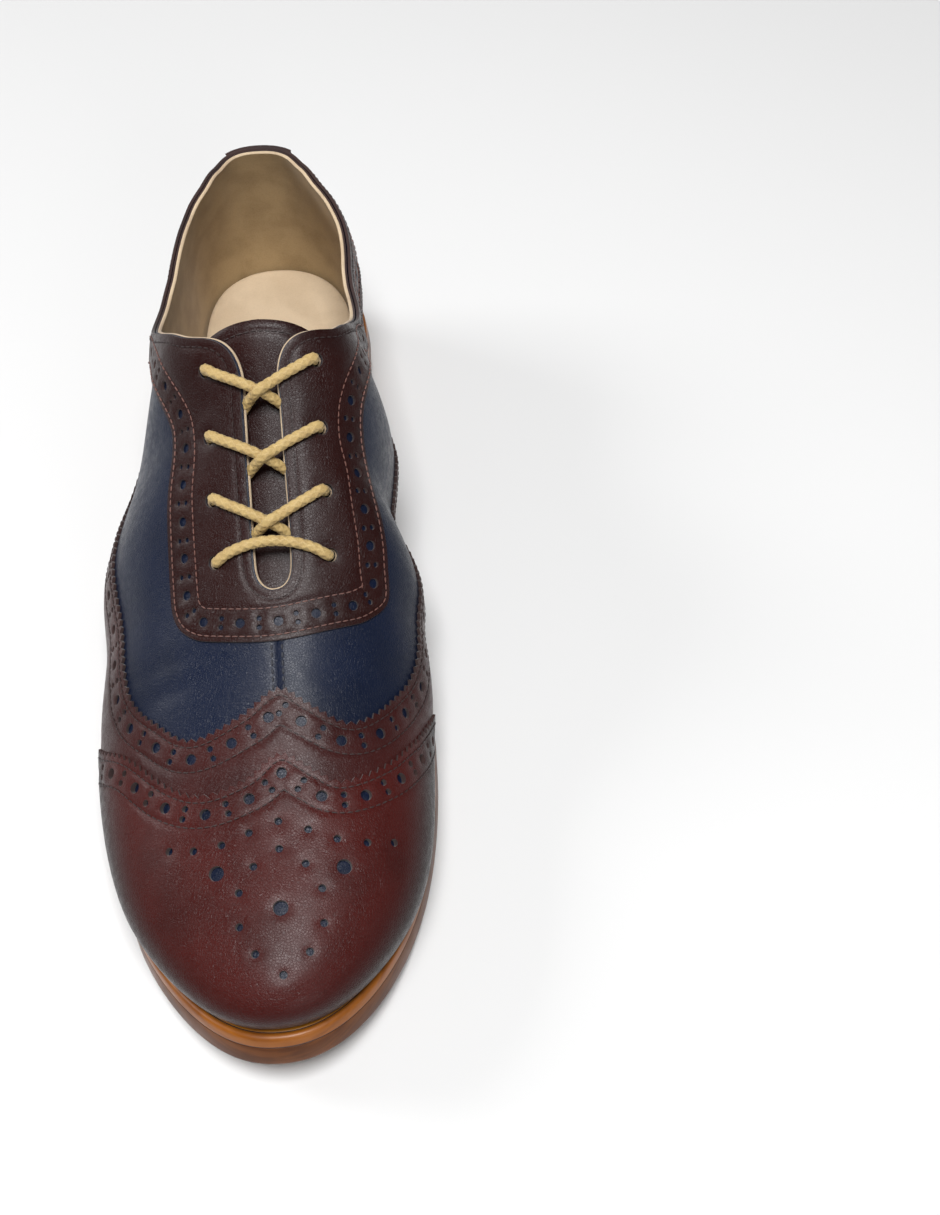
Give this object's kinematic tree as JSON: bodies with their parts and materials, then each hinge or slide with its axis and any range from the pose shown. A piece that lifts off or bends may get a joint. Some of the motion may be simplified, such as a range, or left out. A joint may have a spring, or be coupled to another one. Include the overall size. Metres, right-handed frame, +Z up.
{
  "type": "laced leather shoe",
  "caption": "Laced dress shoe for the right foot with a perforated wing tip and toe cap, a lace stay with round laces, a welted leather sole and a low stacked heel.",
  "frame": {"origin": "bottom centre of the whole shoe's box, on the floor", "axes": "+Z up, the toe points to -Y and the heel to +Y, the inner side of the foot is +X"},
  "size_m": [0.1032, 0.2964, 0.106],
  "materials": {
    "navy_leather": "smooth, half gloss",
    "oxblood_leather": "fine grain, polished",
    "dark_leather": "fine grain, polished",
    "lining_leather": "matte",
    "edge_leather": "waxed edge",
    "sole_leather": "satin",
    "top_piece": "matte",
    "lace_cord": "braided, waxed"
  },
  "bodies": {
    "root": {"upper": "navy_leather", "toe_cap": "oxblood_leather", "wing_panel": "oxblood_leather", "lace_stay": "dark_leather", "heel_tab": "dark_leather", "tongue": "dark_leather", "insole": "lining_leather", "welt": "edge_leather", "outsole": "sole_leather", "heel_stack": "edge_leather", "heel_top_piece": "top_piece", "lace_bar": "lace_cord", "lace_crossing_1": "lace_cord", "lace_crossing_2": "lace_cord", "lace_crossing_3": "lace_cord"}
  },
  "joints": []
}
